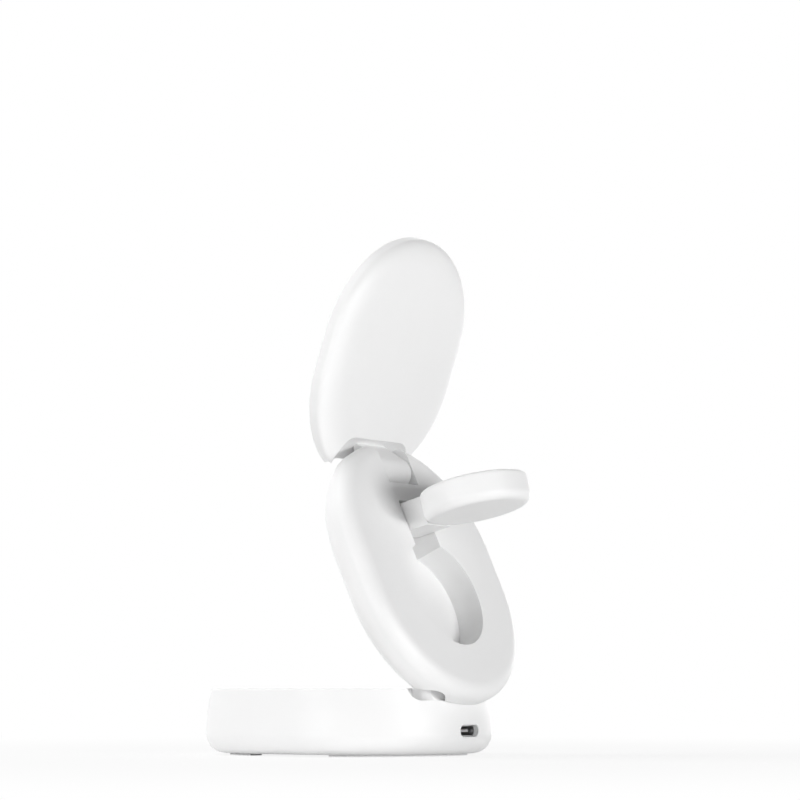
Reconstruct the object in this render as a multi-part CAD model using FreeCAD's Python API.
import FreeCAD
import Part
import math
import os

# Folding wireless charger with a base, a leaning arm, an upper pad and a swing-out puck.
# Millimetres. X runs across, +Y to the rear, +Z up. Every piece is drawn in the folded stack, where
# the base, the arm and the pad lie flat on each other above the origin, and is then opened about its
# hinge axes. Last, the standing charger is moved so that the origin is on the table at its middle.

# Clearances
stack_gap = 0.4      # between the levels of the folded stack
swing_gap = 0.3      # beside pieces that swing past each other
seat_gap = 0.1       # round plates that drop into an opening
run_gap = 0.03       # radial gap of a pin in its bore

# Standing pose, as turns from the folded stack
arm_opening = 65.3
pad_opening = 135.5
puck_opening = 79.1

# Base
base_half_width = 36.4
base_straight = 13.4
base_height = 19.2
base_wall = 2.2
base_belly_height = 6.2
base_bottom_round = 5.3
base_top_inset = 1.6
base_top_round = 0.8
foot_height = 0.6
foot_sink = 0.4
foot_width = 5.0
foot_margin = 1.0
foot_cut = 28.0      # straight stretch left bare between the two feet
cover_inset = 6.1
cover_thickness = 2.4
boss_radius = 3.0
screw_radius = 1.0
screw_length = 7.0
screw_head_radius = 1.9
screw_head_height = 1.2
screw_drive_radius = 0.9
screw_drive_depth = 0.7

# Charging place on the base
mat_inset = 10.9
mat_straight = 6.0
mat_setback = 9.0    # how far the charging place lies in front of the middle
mat_thickness = 0.8
base_coil_outer = 18.0
base_coil_inner = 7.0
base_coil_thickness = 1.5
base_ferrite_margin = 1.2
base_ferrite_thickness = 0.8

# Ballast, board and socket inside the base
ballast_inset = 16.4
ballast_straight = 4.0
ballast_margin = 9.1
ballast_thickness = 4.5
board_half_width = 14.5
board_length = 24.0
board_setback = 7.1
board_thickness = 1.2
board_corner = 1.5
post_radius = 2.2
post_inset = 3.6
board_parts = [      # as (x, distance from the board's front, width, length, height)
    (-8.5, 7.0, 6.6, 6.6, 3.0),
    (8.5, 7.0, 6.6, 6.6, 3.0),
    (0.0, 7.0, 5.0, 5.0, 0.9),
    (-8.8, 15.0, 3.2, 2.6, 1.8),
    (8.8, 15.0, 3.2, 2.6, 1.8),
]
socket_height = 7.2
socket_width = 8.94
socket_tall = 3.26
socket_wall = 0.3
socket_depth = 7.4
socket_setback = 1.3
socket_flare = 0.25
socket_flare_depth = 0.4
tongue_width = 6.7
tongue_tall = 0.7
tongue_depth = 5.6

# Lower hinge, between the base and the arm
lower_axis_setback = 9.0
lower_axis_drop = 0.2
notch_half_width = 20.0
notch_depth = 3.4
notch_round = 3.2
notch_reach = 1.3    # how far the notch runs forward of the hinge axis
knuckle_radius = 6.6
knuckle_half = 14.6
knuckle_round = 6.0
knuckle_ledge = 2.0
lower_pin_half = 12.5
lug_half_width = 6.0
lug_radius = 4.6
lug_web = 7.4
lug_slant = 30.0
relief_center = 13.2
relief_half = 6.0
relief_radius = 9.0
relief_turn = 66.0
hinge_pin_radius = 1.5
sleeve_wall = 1.0

# Arm
arm_half_width = 34.3
arm_straight = 13.4
arm_overhang = 7.7    # how far the arm's lower end runs past the hinge axis
arm_thickness = 11.5
arm_wall = 1.6
arm_front_round = 4.6
arm_front_round_depth = 5.6
arm_rear_round = 4.4
arm_rear_round_depth = 4.0
arm_cover_inset = 6.0
arm_cover_thickness = 1.4
stiffener_thickness = 0.9
stiffener_margin = 1.0

# Upper hinge, between the arm and the pad
upper_axis_setback = 8.2
upper_axis_depth = 5.0
neck_half_width = 7.0
neck_radius = 4.7
neck_back_step = 2.4
neck_front_step = 1.9
upper_pin_half = 16.0

# Upper pad
pad_half_width = 31.0
pad_straight = 11.4
pad_thickness = 6.7
pad_wall = 1.3
pad_back_round = 7.7
pad_back_round_depth = 3.7
pad_front_round = 0.8
pad_cover_thickness = 1.4
pad_cover_inset = 1.5
pad_overhang = 4.7    # how far the pad's lower end runs past the hinge axis
pocket_half_width = 17.4
pocket_radius = 10.0
pocket_round = 6.5
magnet_outer = 26.3
magnet_inner = 22.4
magnet_thickness = 1.8
magnet_count = 16
magnet_space = 4.0   # degrees between magnets
pad_coil_outer = 21.6
pad_coil_inner = 9.0
pad_coil_thickness = 1.4
pad_ferrite_thickness = 0.9

# Swing-out puck
puck_radius = 15.6
puck_thickness = 8.5
puck_sink = 0.2
puck_axis_offset = 16.4    # from the upper hinge axis
puck_reach = 25.5
puck_wall = 1.4
puck_face_round = 1.1
puck_back_round = 2.6
puck_neck_half_width = 6.0
puck_cap_margin = 1.6
puck_cap_thickness = 1.4
puck_dish_radius = 60.0
puck_dish_depth = 0.5
puck_pin_radius = 1.25
puck_pin_half = 11.0
puck_coil_outer = 12.4
puck_coil_inner = 5.2
puck_coil_thickness = 1.6
puck_magnet_radius = 4.0
puck_magnet_thickness = 2.4
puck_ferrite_thickness = 0.8

# Levels and axes that follow from the sizes above
base_end = base_half_width + base_straight / 2
cover_half_width = base_half_width - cover_inset
boss_ring = cover_half_width - foot_margin - foot_width / 2
mat_half_width = base_half_width - mat_inset
mat_center = -mat_setback
ballast_half_width = base_half_width - ballast_inset
ballast_center = ballast_margin - base_end + ballast_half_width + ballast_straight / 2
board_rear = base_end - board_setback
board_front = board_rear - board_length
lower_axis_y = base_end - lower_axis_setback
arm_center = lower_axis_y + arm_overhang - arm_half_width - arm_straight / 2
upper_axis_y = arm_center - arm_straight / 2 - arm_half_width + upper_axis_setback
pad_center = upper_axis_y - pad_overhang + pad_half_width + pad_straight / 2
puck_axis_y = upper_axis_y + puck_axis_offset
base_floor = foot_height + cover_thickness
base_roof = base_height - base_wall
base_side_rise = base_height - base_belly_height
base_side_radius = (base_side_rise**2 + base_top_inset**2) / (2 * base_top_inset)
lower_axis_z = base_height - lower_axis_drop
notch_floor = base_height - notch_depth
arm_front = base_height + stack_gap
arm_rear = arm_front + arm_thickness
arm_cover_top = arm_front + arm_cover_thickness
upper_axis_z = arm_rear - upper_axis_depth
pad_back = arm_rear + stack_gap
pad_front = pad_back + pad_thickness
pad_cover_back = pad_front - pad_cover_thickness
pocket_rise = math.sqrt(pocket_radius**2 - (pad_back - upper_axis_z)**2)
pad_roof_y = upper_axis_y + pocket_rise
magnet_center = pad_center + pad_straight / 2
puck_top = arm_rear - puck_sink
puck_low = puck_top - puck_thickness
puck_axis_z = puck_low + puck_thickness / 2
puck_y = puck_axis_y + puck_reach
recess_radius = puck_radius + swing_gap
recess_floor = puck_low - swing_gap
far = 200.0          # longer than anything here, for cutting tools
AXIS_X = FreeCAD.Vector(1, 0, 0)
AXIS_Y = FreeCAD.Vector(0, 1, 0)
AXIS_Z = FreeCAD.Vector(0, 0, 1)


def at(x, y, z):
    return FreeCAD.Vector(x, y, z)


def line(start, end):
    return Part.LineSegment(start, end).toShape()


def rounded(start, corner, end):
    """Quarter ellipse that leaves start and meets end along the two sides of their corner."""
    curve = Part.BezierCurve()
    curve.setPoles([start, corner, end])
    curve.setWeight(2, math.sqrt(0.5))
    return curve.toShape()


def face_of(edges):
    return Part.Face(Part.Wire(edges))


def obround_face(half_width, straight, z, center=0.0):
    """Flat face with two straight sides and two round ends, long along Y."""
    half = straight / 2
    right = [at(half_width, center - half, z), at(half_width, center + half, z)]
    left = [at(-half_width, center + half, z), at(-half_width, center - half, z)]
    rear = at(0, center + half + half_width, z)
    front = at(0, center - half - half_width, z)
    return face_of([
        line(right[0], right[1]),
        Part.Arc(right[1], rear, left[0]).toShape(),
        line(left[0], left[1]),
        Part.Arc(left[1], front, right[0]).toShape(),
    ])


def obround_plate(half_width, straight, low, high, center=0.0):
    return obround_face(half_width, straight, low, center).extrude(at(0, 0, high - low))


def obround_body(section, straight, center=0.0):
    """Carries a section, drawn in X and Z from the middle outwards, round an obround."""
    half = straight / 2
    rear = section.revolve(at(0, 0, 0), AXIS_Z, 180)
    front = section.revolve(at(0, 0, 0), AXIS_Z, -180)
    rear.translate(at(0, half, 0))
    front.translate(at(0, -half, 0))
    side = section.extrude(at(0, straight, 0))
    side.translate(at(0, -half, 0))
    body = side.fuse([side.mirror(at(0, 0, 0), AXIS_X), rear, front]).removeSplitter()
    body.translate(at(0, center, 0))
    return body


def block(x0, x1, y0, y1, z0, z1):
    return Part.makeBox(x1 - x0, y1 - y0, z1 - z0, at(x0, y0, z0))


def wide(half_width, y0, y1, z0, z1):
    return block(-half_width, half_width, y0, y1, z0, z1)


def disc(radius, low, high, x=0.0, y=0.0):
    return Part.makeCylinder(radius, high - low, at(x, y, low))


def ring(outer, inner, low, high, x=0.0, y=0.0):
    return disc(outer, low, high, x, y).cut(disc(inner, low, high, x, y))


def bar(radius, x0, x1, y, z):
    """Round bar along X."""
    return Part.makeCylinder(radius, x1 - x0, at(x0, y, z), AXIS_X)


def cross_bar(radius, half_length, y, z):
    return bar(radius, -half_length, half_length, y, z)


def barrel(radius, half_length, end_round, y, z):
    """Round bar along X with well rounded ends."""
    body = cross_bar(radius, half_length, y, z)
    rims = [e for e in body.Edges if e.BoundBox.XLength < end_round]
    return body.makeFillet(end_round, rims)


def slab(points, half_width):
    """Prism along X from an outline of (y, z) points."""
    corners = [at(-half_width, y, z) for y, z in points]
    outline = Part.makePolygon(corners + corners[:1])
    return Part.Face(outline).extrude(at(2 * half_width, 0, 0))


def tangent_point(center, radius, point, side):
    """Where a line from a (y, z) point touches a circle, on its left (1) or right (-1)."""
    dy = point[0] - center[0]
    dz = point[1] - center[1]
    turn = math.atan2(dz, dy) + side * math.acos(radius / math.hypot(dy, dz))
    return (center[0] + radius * math.cos(turn), center[1] + radius * math.sin(turn))


def pan_screw(x, y):
    """Screw that points up, with its head seated in the bottom cover."""
    head_low = foot_height + foot_sink
    shank_low = head_low + screw_head_height
    head = disc(screw_head_radius, head_low, shank_low, x, y)
    drive = disc(screw_drive_radius, head_low, head_low + screw_drive_depth, x, y)
    shank = disc(screw_radius, shank_low, shank_low + screw_length, x, y)
    return head.cut(drive).fuse(shank)


# Base


def base_side_x(z, inset):
    """Half width of the softly curved side at a height, or of a wall that lies inside it."""
    center = base_half_width - base_side_radius
    return center + math.sqrt((base_side_radius - inset)**2 - (z - base_belly_height)**2)


def base_section(inset, low, high):
    belly = base_half_width - inset
    flat = belly - base_bottom_round
    middle = (base_belly_height + high) / 2
    side_end = at(base_side_x(high, inset), 0, high)
    side_middle = at(base_side_x(middle, inset), 0, middle)
    side_start = at(belly, 0, base_belly_height)
    return face_of([
        line(at(0, 0, low), at(flat, 0, low)),
        rounded(at(flat, 0, low), at(belly, 0, low), side_start),
        Part.Arc(side_start, side_middle, side_end).toShape(),
        line(side_end, at(0, 0, high)),
        line(at(0, 0, high), at(0, 0, low)),
    ])


def base_body():
    body = obround_body(base_section(0, foot_height, base_height), base_straight)
    rim = [e for e in body.Edges if e.BoundBox.ZMin > base_height - base_top_round / 2]
    return body.makeFillet(base_top_round, rim)


def hinge_notch():
    """Opening in the rear top edge that takes the lower end of the arm."""
    corner = notch_half_width - notch_round
    top = base_height + notch_round
    front = lower_axis_y - notch_reach
    cut = wide(notch_half_width, front, far, notch_floor + notch_round, top)
    cut = cut.fuse(wide(corner, front, far, notch_floor, top))
    for side in (-1, 1):
        end = at(side * corner, front, notch_floor + notch_round)
        cut = cut.fuse(Part.makeCylinder(notch_round, far - front, end, AXIS_Y))
    return cut


def screw_places():
    reach = boss_ring / math.sqrt(2)
    end = base_straight / 2
    return [(sx * reach, sy * (reach + end)) for sx in (-1, 1) for sy in (-1, 1)]


def lower_bar(radius, half_length):
    return cross_bar(radius, half_length, lower_axis_y, lower_axis_z)


def lower_barrel(radius, half_length, end_round):
    return barrel(radius, half_length, end_round, lower_axis_y, lower_axis_z)


def hinge_hump():
    """Rounded hump in the notch that carries the lower pin; it stands back from the rear wall."""
    hump = lower_barrel(knuckle_radius, knuckle_half, knuckle_round)
    room = obround_plate(base_half_width - knuckle_ledge, base_straight, notch_floor - base_wall, far)
    front = lower_axis_y - notch_reach
    return hump.common(room).common(wide(knuckle_half, front, far, notch_floor - base_wall, far))


def socket_tube(grow, depth_start, depth_end):
    """Obround bar of the socket's outline, grown by a gap, along Y."""
    radius = socket_tall / 2 + grow
    half = (socket_width - socket_tall) / 2
    length = depth_end - depth_start
    body = block(-half, half, depth_start, depth_end, socket_height - radius, socket_height + radius)
    for side in (-1, 1):
        end = Part.makeCylinder(radius, length, at(side * half, depth_start, socket_height), AXIS_Y)
        body = body.fuse(end)
    return body.removeSplitter()


def base_cavity():
    cavity = obround_body(base_section(base_wall, base_floor, base_roof), base_straight)
    cavity = cavity.cut(lower_bar(knuckle_radius + base_wall, notch_half_width + base_wall))
    cavity = cavity.cut(wide(notch_half_width + base_wall, lower_axis_y - notch_reach - base_wall, far,
                             notch_floor - base_wall, far))
    for x, y in screw_places():
        cavity = cavity.cut(disc(boss_radius, base_floor, base_roof, x, y))
    return cavity


def base_shell():
    shell = base_body().cut(hinge_notch()).fuse(hinge_hump())
    room = lug_half_width + swing_gap
    shell = shell.cut(lower_bar(lug_radius + swing_gap, room))
    shell = shell.cut(wide(room, lower_axis_y - notch_reach, far, notch_floor, far))
    shell = shell.cut(lower_bar(hinge_pin_radius + run_gap, lower_pin_half))
    shell = shell.cut(base_cavity())
    shell = shell.cut(obround_plate(cover_half_width + seat_gap, base_straight, foot_height, base_floor))
    shell = shell.cut(obround_plate(mat_half_width + seat_gap, mat_straight, base_height - mat_thickness,
                                    base_height, mat_center))
    shell = shell.cut(socket_tube(seat_gap, board_rear - socket_depth, base_end + base_wall))
    mouth = base_end - socket_flare_depth
    shell = shell.cut(socket_tube(socket_flare, mouth, base_end + base_wall))
    for x, y in screw_places():
        shell = shell.cut(disc(screw_radius, base_floor, base_floor + screw_length, x, y))
    return shell.removeSplitter()


def feet_faces(low, high, grow):
    """The two crescents under the ends of the bottom cover."""
    outer = cover_half_width - foot_margin + grow
    inner = outer - foot_width - 2 * grow
    body = obround_plate(outer, base_straight, low, high)
    body = body.cut(obround_plate(inner, base_straight, low, high))
    bare = foot_cut / 2 - grow
    return body.cut(wide(far, -bare, bare, low, high))


def base_feet():
    return feet_faces(0, foot_height + foot_sink, 0)


def board_posts():
    x = board_half_width - post_inset
    ends = (board_front + post_inset, board_rear - 2 * post_inset)
    return [(side * x, y) for side in (-1, 1) for y in ends]


def board_low():
    return socket_height - socket_tall / 2 - board_thickness


def base_bottom_cover():
    cover = obround_plate(cover_half_width, base_straight, foot_height, base_floor)
    cover = cover.cut(feet_faces(foot_height, foot_height + foot_sink, seat_gap))
    head_low = foot_height + foot_sink
    for x, y in screw_places():
        cover = cover.cut(disc(screw_radius + seat_gap, foot_height, base_floor, x, y))
        head_top = head_low + screw_head_height
        cover = cover.cut(disc(screw_head_radius + seat_gap, foot_height, head_top, x, y))
    for x, y in board_posts():
        cover = cover.fuse(disc(post_radius, base_floor, board_low(), x, y))
    return cover.removeSplitter()


def base_screws():
    return Part.makeCompound([pan_screw(x, y) for x, y in screw_places()])


def base_ballast():
    top = base_floor + ballast_thickness
    plate = obround_plate(ballast_half_width, ballast_straight, base_floor, top, ballast_center)
    for x, y in screw_places():
        plate = plate.cut(disc(boss_radius + swing_gap, base_floor, top, x, y))
    return plate


def main_board():
    low = board_low()
    board = wide(board_half_width, board_front, board_rear, low, low + board_thickness)
    corners = [e for e in board.Edges if e.BoundBox.ZLength > board_thickness / 2]
    return board.makeFillet(board_corner, corners)


def board_components():
    """Power inductors, the chip between them and two capacitors on top of the board."""
    low = board_low() + board_thickness
    return Part.makeCompound([
        block(x - w / 2, x + w / 2, board_front + y - d / 2, board_front + y + d / 2, low, low + h)
        for x, y, w, d, h in board_parts
    ])


def socket_mouth():
    return base_end - socket_flare_depth - socket_setback


def usb_c_shell():
    mouth = socket_mouth()
    back = mouth - socket_depth
    return socket_tube(0, back, mouth).cut(socket_tube(-socket_wall, back + socket_wall, mouth))


def usb_c_tongue():
    start = socket_mouth() - socket_depth + socket_wall
    return wide(tongue_width / 2, start, start + tongue_depth, socket_height - tongue_tall / 2,
                socket_height + tongue_tall / 2)


def base_charging_mat():
    low = base_height - mat_thickness
    return obround_plate(mat_half_width, mat_straight, low, base_height, mat_center)


def base_coil():
    low = base_roof - base_coil_thickness
    return ring(base_coil_outer, base_coil_inner, low, base_roof, 0, mat_center)


def base_ferrite():
    top = base_roof - base_coil_thickness
    return disc(base_coil_outer + base_ferrite_margin, top - base_ferrite_thickness, top, 0, mat_center)


def lower_hinge_pin():
    return lower_bar(hinge_pin_radius, lower_pin_half)


# Arm


def arm_section(inset, low, high):
    """Half section of the arm with a rounded front edge below and a rounded rear edge above."""
    side = arm_half_width - inset
    front_flat = side - arm_front_round
    rear_flat = side - arm_rear_round
    front_side = at(side, 0, low + arm_front_round_depth - inset)
    rear_side = at(side, 0, high - arm_rear_round_depth + inset)
    return face_of([
        line(at(0, 0, low), at(front_flat, 0, low)),
        rounded(at(front_flat, 0, low), at(side, 0, low), front_side),
        line(front_side, rear_side),
        rounded(rear_side, at(side, 0, high), at(rear_flat, 0, high)),
        line(at(rear_flat, 0, high), at(0, 0, high)),
        line(at(0, 0, high), at(0, 0, low)),
    ])


def scallop(middle):
    """Egg-shaped hollow on the lower axis, which opens the arm's edge beside the hump."""
    low = lower_axis_z
    high = lower_axis_z + relief_radius
    near = middle - relief_half
    out = middle + relief_half
    y = lower_axis_y
    profile = face_of([
        rounded(at(near, y, low), at(near, y, high), at(middle, y, high)),
        rounded(at(middle, y, high), at(out, y, high), at(out, y, low)),
        line(at(out, y, low), at(near, y, low)),
    ])
    return profile.revolve(at(0, y, low), AXIS_X, 360)


def rear_wall_room():
    """Room in the arm's lower end for the rear wall of the base, which it hangs behind when it stands."""
    gap = swing_gap + seat_gap
    wall = obround_body(base_section(-gap, foot_height, notch_floor + gap), base_straight)
    wall = wall.common(wide(notch_half_width, lower_axis_y - notch_reach, far, foot_height, far))
    wall.rotate(at(0, lower_axis_y, lower_axis_z), AXIS_X, arm_opening)
    return wall


def lower_relief():
    """Room in the arm's lower end for the base's hump and rear wall."""
    gap = swing_gap
    room = lower_barrel(knuckle_radius + gap, knuckle_half + gap, knuckle_round + gap)
    lower_half = wide(far, lower_axis_y - far, lower_axis_y + far, lower_axis_z - far, lower_axis_z)
    lower_half.rotate(at(0, lower_axis_y, lower_axis_z), AXIS_X, relief_turn)
    for side in (-1, 1):
        room = room.fuse(scallop(side * relief_center).common(lower_half))
    return room.fuse(rear_wall_room())


def arm_lug():
    """Round lug on the lower pin, with a web that runs up into the arm."""
    reach = relief_radius + arm_wall
    web = wide(lug_half_width, lower_axis_y - lug_web / 2, lower_axis_y + lug_web / 2, lower_axis_z,
               lower_axis_z + reach)
    web.rotate(at(0, lower_axis_y, lower_axis_z), AXIS_X, lug_slant)
    return lower_bar(lug_radius, lug_half_width).fuse(web)


def puck_recess(grow):
    """Pocket for the folded puck and its neck, longer by the way the puck's near edge rolls out."""
    floor = recess_floor - grow
    near = puck_reach - puck_radius
    roll = near - math.sqrt(near**2 - (arm_rear - puck_axis_z)**2)
    pocket = obround_plate(recess_radius + grow, roll, floor, far, puck_y - roll / 2)
    front = puck_axis_y - puck_thickness / 2 - swing_gap - grow
    return pocket.fuse(wide(puck_neck_half_width + swing_gap + grow, front, puck_y, floor, far))


def neck_root():
    """Back and front corners, as (y, z), where the neck leaves the round wall of the pad's pocket."""
    back = pad_back + neck_back_step
    rise = math.sqrt(pocket_radius**2 - (back - upper_axis_z)**2)
    return (upper_axis_y + rise, back), (pad_roof_y, pad_front - neck_front_step)


def neck_slot(grow):
    """Slot in the upper end of the arm for the pad's neck, ramped where the neck folds over."""
    gap = swing_gap + grow
    axis = (upper_axis_y, upper_axis_z)
    back = neck_root()[0]
    touch = tangent_point(axis, neck_radius, back, -1)
    lean = ((touch[0] - axis[0]) / neck_radius, (touch[1] - axis[1]) / neck_radius)
    ramp = [(y + gap * lean[0], z + gap * lean[1]) for y, z in (touch, back)]
    floor = upper_axis_z - neck_radius - gap
    start = arm_center - arm_straight / 2 - arm_half_width - arm_wall
    outline = [(start, floor), (upper_axis_y, floor)] + ramp + [(ramp[1][0], far), (start, far)]
    half = neck_half_width + gap
    return slab(outline, half).fuse(upper_bar(neck_radius + gap, half))


def upper_bar(radius, half_length):
    return cross_bar(radius, half_length, upper_axis_y, upper_axis_z)


def puck_bar(radius, half_length):
    return cross_bar(radius, half_length, puck_axis_y, puck_axis_z)


def arm_cover_plate(grow, low, high):
    """Plate in the front of the arm; it stops short of the lower hinge."""
    plate = obround_plate(arm_half_width - arm_cover_inset + grow, arm_straight, low, high, arm_center)
    stop = lower_axis_y - knuckle_radius - 2 * arm_wall + grow
    return plate.common(wide(far, -far, stop, low, high))


def arm_cavity():
    section = arm_section(arm_wall, arm_cover_top, arm_rear - arm_wall)
    cavity = obround_body(section, arm_straight, arm_center)
    cavity = cavity.cut(puck_recess(arm_wall))
    cavity = cavity.cut(neck_slot(arm_wall))
    cavity = cavity.cut(upper_bar(hinge_pin_radius + arm_wall, upper_pin_half + arm_wall))
    cavity = cavity.cut(puck_bar(puck_pin_radius + arm_wall, puck_pin_half + arm_wall))
    outer = relief_center + relief_half
    return cavity.cut(lower_bar(relief_radius + arm_wall, outer + arm_wall))


def arm_shell():
    shell = obround_body(arm_section(0, arm_front, arm_rear), arm_straight, arm_center)
    shell = shell.cut(arm_cavity())
    shell = shell.cut(arm_cover_plate(seat_gap, arm_front, arm_cover_top))
    shell = shell.cut(lower_relief()).fuse(arm_lug())
    shell = shell.cut(puck_recess(0)).cut(neck_slot(0))
    shell = shell.cut(upper_bar(hinge_pin_radius + run_gap, upper_pin_half))
    shell = shell.cut(puck_bar(puck_pin_radius + run_gap, puck_pin_half))
    shell = shell.cut(lower_bar(hinge_pin_radius + sleeve_wall + run_gap, lug_half_width))
    return shell.removeSplitter()


def arm_front_cover():
    return arm_cover_plate(0, arm_front, arm_cover_top)


def arm_stiffener():
    """Steel plate on the front cover that stiffens the arm between its hinges."""
    top = arm_cover_top + stiffener_thickness
    plate = arm_cover_plate(-stiffener_margin, arm_cover_top, top)
    plate = plate.cut(puck_recess(arm_wall + stiffener_margin))
    plate = plate.cut(neck_slot(arm_wall + stiffener_margin))
    around = arm_wall + seat_gap
    plate = plate.cut(upper_bar(hinge_pin_radius + around, upper_pin_half + around))
    return plate.cut(lower_bar(relief_radius + around, far))


def friction_sleeve(pin_radius, half_width, y, z):
    outer = cross_bar(pin_radius + sleeve_wall, half_width, y, z)
    return outer.cut(cross_bar(pin_radius + run_gap, half_width, y, z))


def lower_friction_sleeve():
    return friction_sleeve(hinge_pin_radius, lug_half_width, lower_axis_y, lower_axis_z)


def upper_hinge_pin():
    return upper_bar(hinge_pin_radius, upper_pin_half)


def puck_hinge_pin():
    return puck_bar(puck_pin_radius, puck_pin_half)


# Upper pad


def pad_section(inset, low, high):
    """Half section of the pad with its softly rounded back below and its flat front above."""
    side = pad_half_width - inset
    flat = side - pad_back_round
    back_side = at(side, 0, low + pad_back_round_depth - inset)
    front_side = at(side, 0, high - pad_front_round)
    front_flat = at(side - pad_front_round, 0, high)
    return face_of([
        line(at(0, 0, low), at(flat, 0, low)),
        rounded(at(flat, 0, low), at(side, 0, low), back_side),
        line(back_side, front_side),
        rounded(front_side, at(side, 0, high), front_flat),
        line(front_flat, at(0, 0, high)),
        line(at(0, 0, high), at(0, 0, low)),
    ])


def pad_pocket(grow):
    """Hollow in the pad's back that the round upper end of the arm turns in."""
    half = pocket_half_width + grow
    return barrel(pocket_radius + grow, half, pocket_round + grow, upper_axis_y, upper_axis_z)


def base_room(grow):
    """Room for the base's top when the arm is folded down and the pad is still open."""
    gap = swing_gap + grow
    room = obround_body(base_section(-gap, foot_height, base_height + gap), base_straight)
    room.rotate(at(0, upper_axis_y, upper_axis_z), AXIS_X, -pad_opening)
    return room


def pad_neck():
    """Neck from the roof of the pocket to a round end on the upper pin."""
    axis = (upper_axis_y, upper_axis_z)
    back, front = neck_root()
    seat = pad_roof_y + pad_wall
    outline = [tangent_point(axis, neck_radius, back, -1), back, (seat, back[1]), (seat, front[1]), front,
               tangent_point(axis, neck_radius, front, 1), axis]
    return slab(outline, neck_half_width).fuse(upper_bar(neck_radius, neck_half_width))


def pad_cover_plate(grow, low, high):
    return obround_plate(pad_half_width - pad_cover_inset + grow, pad_straight, low, high, pad_center)


def pad_cavity():
    low = pad_back + pad_wall
    cavity = obround_body(pad_section(pad_wall, low, pad_cover_back), pad_straight, pad_center)
    return cavity.cut(pad_pocket(pad_wall)).cut(base_room(pad_wall))


def pad_back_shell():
    shell = obround_body(pad_section(0, pad_back, pad_front), pad_straight, pad_center)
    shell = shell.cut(pad_pocket(0)).cut(base_room(0)).cut(pad_cavity())
    shell = shell.cut(pad_cover_plate(seat_gap, pad_cover_back, pad_front))
    shell = shell.fuse(pad_neck())
    shell = shell.cut(upper_bar(hinge_pin_radius + sleeve_wall + run_gap, neck_half_width))
    return shell.removeSplitter()


def pad_front_cover():
    return pad_cover_plate(0, pad_cover_back, pad_front).cut(base_room(0))


def pad_magnets():
    low = pad_cover_back - magnet_thickness
    step = 360.0 / magnet_count
    outer = Part.makeCylinder(magnet_outer, magnet_thickness, at(0, 0, low), AXIS_Z, step - magnet_space)
    inner = Part.makeCylinder(magnet_inner, magnet_thickness, at(0, 0, low))
    first = outer.cut(inner)
    magnets = []
    for index in range(magnet_count):
        magnet = first.copy()
        magnet.rotate(at(0, 0, 0), AXIS_Z, index * step)
        magnet.translate(at(0, magnet_center, 0))
        magnets.append(magnet)
    return Part.makeCompound(magnets)


def pad_coil():
    return ring(pad_coil_outer, pad_coil_inner, pad_cover_back - pad_coil_thickness, pad_cover_back, 0,
                magnet_center)


def pad_ferrite():
    top = pad_cover_back - pad_coil_thickness
    return disc(pad_coil_outer, top - pad_ferrite_thickness, top, 0, magnet_center)


def upper_friction_sleeve():
    return friction_sleeve(hinge_pin_radius, neck_half_width, upper_axis_y, upper_axis_z)


# Swing-out puck


def puck_cap_radius():
    return puck_radius - puck_cap_margin


def puck_body():
    body = disc(puck_radius, puck_low, puck_top, 0, puck_y)
    face_rim = [e for e in body.Edges if e.BoundBox.ZMin > puck_axis_z]
    body = body.makeFillet(puck_face_round, face_rim)
    back_rim = [e for e in body.Edges if e.BoundBox.ZMax < puck_axis_z]
    return body.makeFillet(puck_back_round, back_rim)


def puck_neck():
    half = puck_thickness / 2
    neck = wide(puck_neck_half_width, puck_axis_y, puck_y - puck_cap_radius(), puck_low, puck_top)
    return neck.fuse(puck_bar(half, puck_neck_half_width))


def puck_shell():
    cap_low = puck_top - puck_cap_thickness
    shell = puck_body().fuse(puck_neck())
    inside = puck_cap_radius() - puck_face_round
    shell = shell.cut(disc(inside, puck_low + puck_wall, cap_low, 0, puck_y))
    shell = shell.cut(disc(puck_cap_radius() + seat_gap, cap_low, puck_top, 0, puck_y))
    shell = shell.cut(puck_bar(puck_pin_radius + sleeve_wall + run_gap, puck_neck_half_width))
    return shell.removeSplitter()


def puck_cap():
    """Charging face of the puck, dished to take a curved back."""
    cap = disc(puck_cap_radius(), puck_top - puck_cap_thickness, puck_top, 0, puck_y)
    ball = Part.makeSphere(puck_dish_radius, at(0, puck_y, puck_top - puck_dish_depth + puck_dish_radius))
    return cap.cut(ball)


def puck_under_cap():
    return puck_top - puck_cap_thickness


def puck_coil():
    top = puck_under_cap()
    return ring(puck_coil_outer, puck_coil_inner, top - puck_coil_thickness, top, 0, puck_y)


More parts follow.
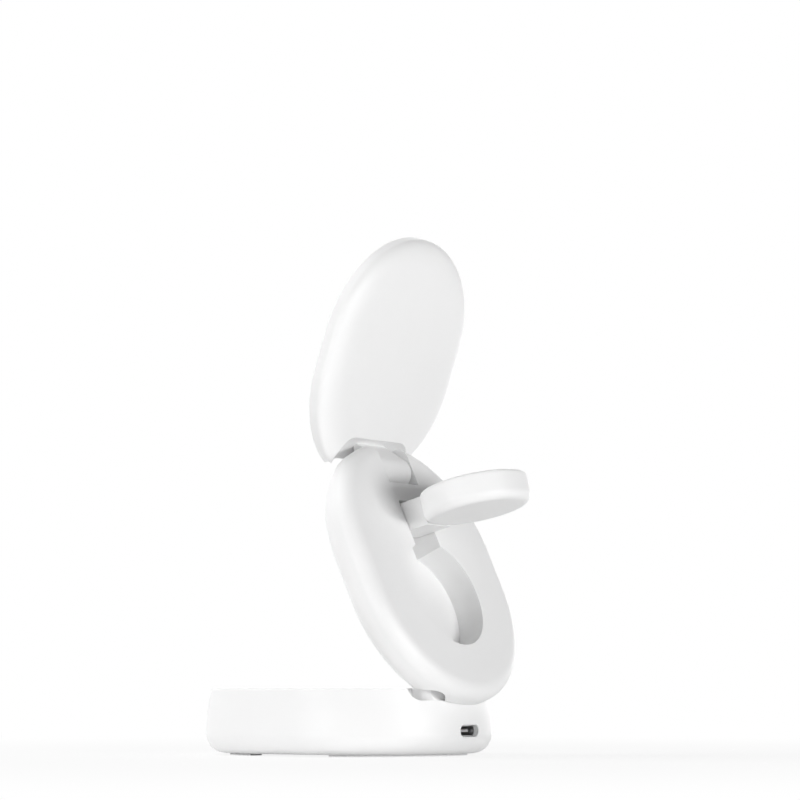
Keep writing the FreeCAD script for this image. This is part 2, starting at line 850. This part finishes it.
def puck_magnet():
    top = puck_under_cap()
    return disc(puck_magnet_radius, top - puck_magnet_thickness, top, 0, puck_y)


def puck_ferrite():
    top = puck_under_cap() - puck_coil_thickness
    return ring(puck_coil_outer, puck_coil_inner, top - puck_ferrite_thickness, top, 0, puck_y)


def puck_friction_sleeve():
    return friction_sleeve(puck_pin_radius, puck_neck_half_width, puck_axis_y, puck_axis_z)


# Opening of the folded stack


def stand(shape):
    """Raises a piece of the arm, or one that the arm carries, from the folded stack."""
    shape.rotate(at(0, lower_axis_y, lower_axis_z), AXIS_X, -arm_opening)
    return shape


def stand_pad(shape):
    shape.rotate(at(0, upper_axis_y, upper_axis_z), AXIS_X, pad_opening)
    return stand(shape)


def stand_puck(shape):
    shape.rotate(at(0, puck_axis_y, puck_axis_z), AXIS_X, puck_opening)
    return stand(shape)


def stay(shape):
    return shape


def puck_tip():
    """How far the opened puck reaches to the rear."""
    axis = stand(Part.Vertex(0, puck_axis_y, puck_axis_z))
    lean = math.radians(puck_opening - arm_opening)
    out = puck_reach + puck_radius - puck_back_round
    deep = puck_thickness / 2 - puck_back_round
    return axis.Y + out * math.cos(lean) + deep * math.sin(lean) + puck_back_round


bodies = [
    (stay, [base_shell, base_bottom_cover, base_feet, base_screws, base_ballast, main_board,
            board_components, usb_c_shell, usb_c_tongue, base_charging_mat, base_coil, base_ferrite,
            lower_hinge_pin]),
    (stand, [arm_shell, arm_front_cover, arm_stiffener, lower_friction_sleeve, upper_hinge_pin,
             puck_hinge_pin]),
    (stand_pad, [pad_back_shell, pad_front_cover, pad_magnets, pad_coil, pad_ferrite,
                 upper_friction_sleeve]),
    (stand_puck, [puck_shell, puck_cap, puck_coil, puck_magnet, puck_ferrite, puck_friction_sleeve]),
]

middle = at(0, (base_end - puck_tip()) / 2, 0)
os.makedirs("parts", exist_ok=True)
for opened, makers in bodies:
    for maker in makers:
        shape = opened(maker())
        shape.translate(middle)
        shape.exportStep(os.path.join("parts", maker.__name__ + ".step"))
        print(maker.__name__, len(shape.Solids), shape.isValid(), round(shape.Volume, 1))
